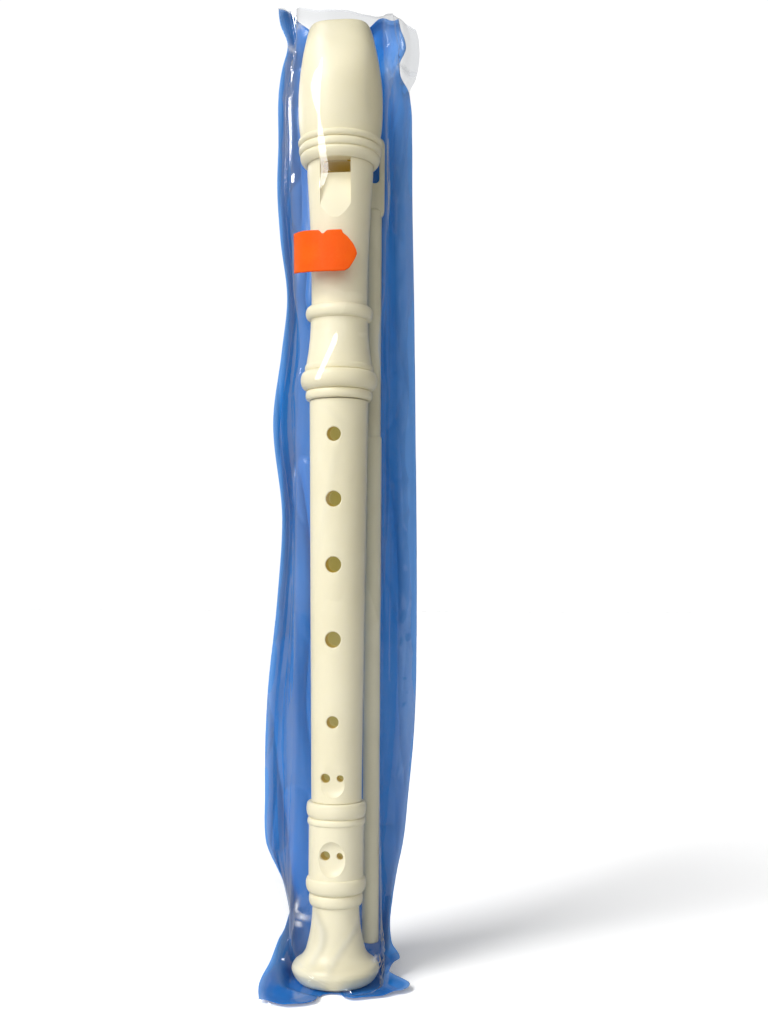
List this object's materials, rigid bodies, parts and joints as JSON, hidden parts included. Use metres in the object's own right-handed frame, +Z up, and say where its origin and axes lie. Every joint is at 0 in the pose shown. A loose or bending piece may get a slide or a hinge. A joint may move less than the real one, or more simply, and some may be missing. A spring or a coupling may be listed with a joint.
{
  "type": "descant recorder in a pouch",
  "caption": "Plastic descant recorder in head, middle and foot joints, with a beak, window and finger holes, and its cleaning rod, standing in a pouch of clear and blue film.",
  "frame": {"origin": "under side of the pouch floor, on the recorder's axis", "axes": "+Z up along the recorder, -Y the pouch's clear front, +X the side of the cleaning rod"},
  "size_m": [0.0547, 0.0417, 0.3451],
  "materials": {
    "ivory_plastic": "moulded ivory plastic, satin to gloss",
    "rod_plastic": "moulded pale plastic, satin",
    "blue_film": "glossy blue film",
    "clear_film": "clear glossy film",
    "label": "bare fluorescent orange coated paper"
  },
  "bodies": {
    "pouch": {"pouch_back_film": "blue_film", "pouch_front_film": "clear_film", "price_label": "label"},
    "middle": {"middle_joint": "ivory_plastic"},
    "head": {"head_joint": "ivory_plastic", "mouthpiece": "ivory_plastic", "fipple_block": "ivory_plastic"},
    "foot": {"foot_joint": "ivory_plastic"},
    "rod": {"cleaning_rod": "rod_plastic"}
  },
  "joints": [
    {"name": "recorder_lift", "type": "slide", "parent": "pouch", "child": "middle", "axis": [0, 0, 1], "range_m": [0, 0.345]},
    {"name": "head_pull", "type": "slide", "parent": "middle", "child": "head", "axis": [0, 0, 1], "range_m": [0, 0.021]},
    {"name": "foot_turn", "type": "hinge", "parent": "middle", "child": "foot", "pos_m": [0, 0, 0.05], "axis": [0, 0, 1], "continuous": true},
    {"name": "rod_lift", "type": "slide", "parent": "pouch", "child": "rod", "axis": [0, 0, 1], "range_m": [-0.009, 0.345]}
  ]
}
